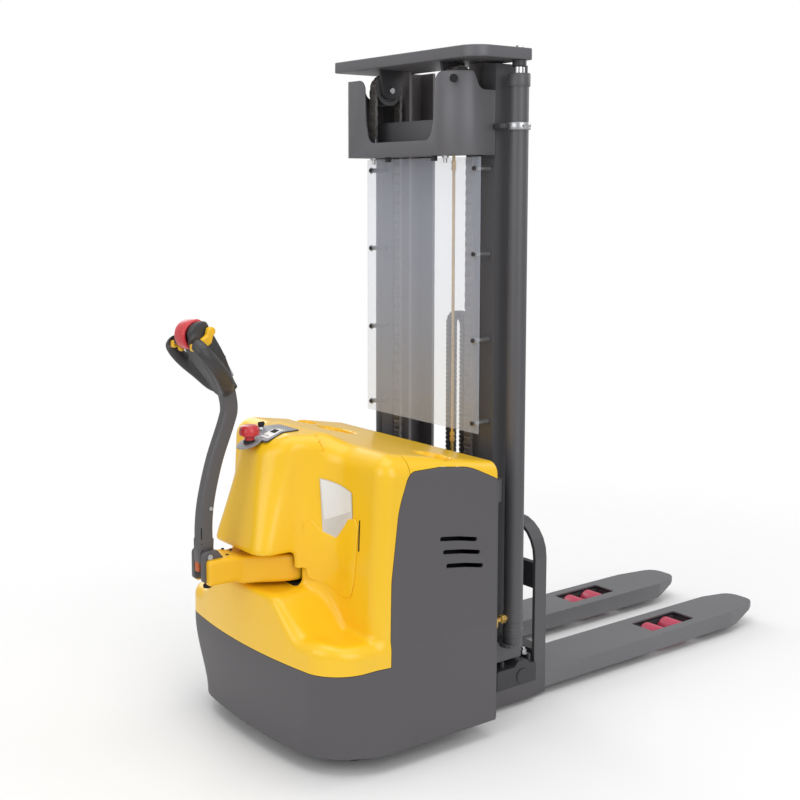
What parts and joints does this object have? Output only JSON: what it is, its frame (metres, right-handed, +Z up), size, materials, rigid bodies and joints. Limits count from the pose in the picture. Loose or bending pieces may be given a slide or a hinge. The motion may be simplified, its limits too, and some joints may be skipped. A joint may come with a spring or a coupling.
{
  "type": "walkie stacker",
  "caption": "Electric walk-behind pallet stacker with a two-stage lift mast, forks over straddle legs and a steering tiller.",
  "frame": {"origin": "middle of the whole object's footprint, on the floor", "axes": "+Z up, +Y towards the fork tips, +X to the right of someone who stands behind the tiller and looks along the forks"},
  "size_m": [0.848, 2.3202, 2.091],
  "materials": {
    "yellow_paint": "satin powder coat",
    "body_grey": "fine-textured powder coat",
    "mast_grey": "satin paint",
    "black_plastic": "fine grain",
    "black_tyre": "matt",
    "grey_plastic": "matt",
    "red_plastic": "gloss",
    "bright_steel": "ground",
    "chain_steel": "oiled",
    "brass": "zinc-yellow passivated",
    "polyurethane": "smooth",
    "clear_guard": "clear polycarbonate"
  },
  "bodies": {
    "chassis": {"side_skirt": "body_grey", "front_cowl": "yellow_paint", "rear_bulkhead": "body_grey", "dash_panel": "grey_plastic", "chassis_frame": "body_grey", "battery": "black_plastic", "hydraulic_unit": "bright_steel", "motor_controller": "black_plastic", "leg_left": "body_grey", "leg_right": "body_grey", "mast_bearing_left": "mast_grey", "mast_bearing_right": "mast_grey", "outer_rail_left": "mast_grey", "outer_rail_right": "mast_grey", "mast_foot": "mast_grey", "head_bracket": "mast_grey", "guard_panel": "clear_guard", "lift_cylinder_left": "mast_grey", "lift_cylinder_right": "mast_grey", "cylinder_band_left": "bright_steel", "cylinder_band_right": "bright_steel", "hydraulic_pipe": "brass", "cable_carrier": "black_plastic"},
    "battery_lid": {"battery_lid": "yellow_paint"},
    "emergency_stop": {"emergency_stop": "red_plastic"},
    "key_switch": {"key_switch": "black_plastic"},
    "steering": {"drive_unit": "mast_grey", "steering_head": "yellow_paint"},
    "drive_wheel": {"drive_wheel": "polyurethane"},
    "tiller": {"tiller_arm": "body_grey", "tiller_head": "black_plastic"},
    "throttle": {"throttle_paddles": "yellow_paint"},
    "belly_button": {"belly_button": "red_plastic"},
    "lift_rocker": {"lift_rocker": "grey_plastic"},
    "inner_mast": {"inner_rail_left": "mast_grey", "inner_rail_right": "mast_grey", "piston_rod_left": "bright_steel", "piston_rod_right": "bright_steel", "inner_crossbeam": "mast_grey", "top_plate": "mast_grey", "chain_anchor_run_left": "chain_steel", "chain_anchor_run_right": "chain_steel", "chain_carriage_run_left": "chain_steel", "chain_carriage_run_right": "chain_steel"},
    "carriage": {"carriage_frame": "mast_grey", "load_hoop": "mast_grey", "fork_left": "mast_grey", "fork_right": "mast_grey"},
    "chain_pulley_left": {"chain_pulley_left": "bright_steel"},
    "caster_fork_left": {"caster_fork_left": "mast_grey"},
    "caster_wheel_left": {"caster_wheel_left": "black_tyre"},
    "bogie_left": {"bogie_left": "mast_grey"},
    "load_roller_rear_left": {"load_roller_rear_left": "polyurethane"},
    "load_roller_front_left": {"load_roller_front_left": "polyurethane"},
    "chain_pulley_right": {"chain_pulley_right": "bright_steel"},
    "caster_fork_right": {"caster_fork_right": "mast_grey"},
    "caster_wheel_right": {"caster_wheel_right": "black_tyre"},
    "bogie_right": {"bogie_right": "mast_grey"},
    "load_roller_rear_right": {"load_roller_rear_right": "polyurethane"},
    "load_roller_front_right": {"load_roller_front_right": "polyurethane"}
  },
  "joints": [
    {"name": "lid_hinge", "type": "hinge", "parent": "chassis", "child": "battery_lid", "pos_m": [0, -0.33194, 0.8], "axis": [-1, 0, 0], "range_deg": [0, 60]},
    {"name": "stop_press", "type": "slide", "parent": "chassis", "child": "emergency_stop", "axis": [0, 0, -1], "range_m": [0, 0.006]},
    {"name": "key_turn", "type": "hinge", "parent": "chassis", "child": "key_switch", "pos_m": [-0.045, -0.86694, 0.94], "axis": [0, 0, -1], "range_deg": [0, 60]},
    {"name": "steer_turn", "type": "hinge", "parent": "chassis", "child": "steering", "pos_m": [0, -0.83694, 0.3], "axis": [0, 0, 1], "range_deg": [-56, 56]},
    {"name": "drive_spin", "type": "hinge", "parent": "steering", "child": "drive_wheel", "pos_m": [0, -0.83694, 0.105], "axis": [1, 0, 0], "continuous": true},
    {"name": "tiller_tip", "type": "hinge", "parent": "steering", "child": "tiller", "pos_m": [0, -1.09294, 0.605], "axis": [1, 0, 0], "range_deg": [0, 80], "stiffness_Nm_per_rad": 22, "springref_deg": -34.38},
    {"name": "throttle_twist", "type": "hinge", "parent": "tiller", "child": "throttle", "pos_m": [0, -1.10253, 1.23949], "axis": [1, 0, 0], "range_deg": [-25, 25], "stiffness_Nm_per_rad": 1.5},
    {"name": "belly_press", "type": "slide", "parent": "tiller", "child": "belly_button", "axis": [0, 0.509, -0.8607], "range_m": [0, 0.005], "stiffness_N_per_m": 500, "springref_m": -0.004},
    {"name": "lift_rocker_tip", "type": "hinge", "parent": "tiller", "child": "lift_rocker", "pos_m": [0, -1.03286, 1.1924], "axis": [1, 0, 0], "range_deg": [-6, 6], "stiffness_Nm_per_rad": 0.5},
    {"name": "mast_lift", "type": "slide", "parent": "chassis", "child": "inner_mast", "axis": [0, 0, 1], "range_m": [0, 1.47]},
    {"name": "carriage_lift", "type": "slide", "parent": "inner_mast", "child": "carriage", "axis": [0, 0, 1], "range_m": [0, 1.47], "deforming": ["chain_carriage_run_left", "chain_carriage_run_right"]},
    {"name": "pulley_spin_left", "type": "hinge", "parent": "inner_mast", "child": "chain_pulley_left", "pos_m": [-0.184, -0.29194, 1.982], "axis": [1, 0, 0], "range_deg": [0, 1700]},
    {"name": "caster_swivel_left", "type": "hinge", "parent": "chassis", "child": "caster_fork_left", "pos_m": [-0.29, -0.78694, 0.176], "axis": [0, 0, 1], "continuous": true},
    {"name": "caster_spin_left", "type": "hinge", "parent": "caster_fork_left", "child": "caster_wheel_left", "pos_m": [-0.29, -0.75694, 0.075], "axis": [1, 0, 0], "continuous": true},
    {"name": "bogie_rock_left", "type": "hinge", "parent": "chassis", "child": "bogie_left", "pos_m": [-0.195, 0.69606, 0.052], "axis": [1, 0, 0], "range_deg": [-4, 4]},
    {"name": "roller_spin_rear_left", "type": "hinge", "parent": "bogie_left", "child": "load_roller_rear_left", "pos_m": [-0.1985, 0.64506, 0.04], "axis": [1, 0, 0], "continuous": true},
    {"name": "roller_spin_front_left", "type": "hinge", "parent": "bogie_left", "child": "load_roller_front_left", "pos_m": [-0.1985, 0.74706, 0.04], "axis": [1, 0, 0], "continuous": true},
    {"name": "pulley_spin_right", "type": "hinge", "parent": "inner_mast", "child": "chain_pulley_right", "pos_m": [0.184, -0.29194, 1.982], "axis": [1, 0, 0], "range_deg": [0, 1700]},
    {"name": "caster_swivel_right", "type": "hinge", "parent": "chassis", "child": "caster_fork_right", "pos_m": [0.29, -0.78694, 0.176], "axis": [0, 0, 1], "continuous": true},
    {"name": "caster_spin_right", "type": "hinge", "parent": "caster_fork_right", "child": "caster_wheel_right", "pos_m": [0.29, -0.75694, 0.075], "axis": [1, 0, 0], "continuous": true},
    {"name": "bogie_rock_right", "type": "hinge", "parent": "chassis", "child": "bogie_right", "pos_m": [0.195, 0.69606, 0.052], "axis": [1, 0, 0], "range_deg": [-4, 4]},
    {"name": "roller_spin_rear_right", "type": "hinge", "parent": "bogie_right", "child": "load_roller_rear_right", "pos_m": [0.1985, 0.64506, 0.04], "axis": [1, 0, 0], "continuous": true},
    {"name": "roller_spin_front_right", "type": "hinge", "parent": "bogie_right", "child": "load_roller_front_right", "pos_m": [0.1985, 0.74706, 0.04], "axis": [1, 0, 0], "continuous": true}
  ],
  "couplings": [
    {"joint": "carriage_lift", "follows": "mast_lift", "ratio": 1},
    {"joint": "pulley_spin_left", "follows": "mast_lift", "rad_per_m": 19.881},
    {"joint": "pulley_spin_right", "follows": "mast_lift", "rad_per_m": 19.881}
  ]
}
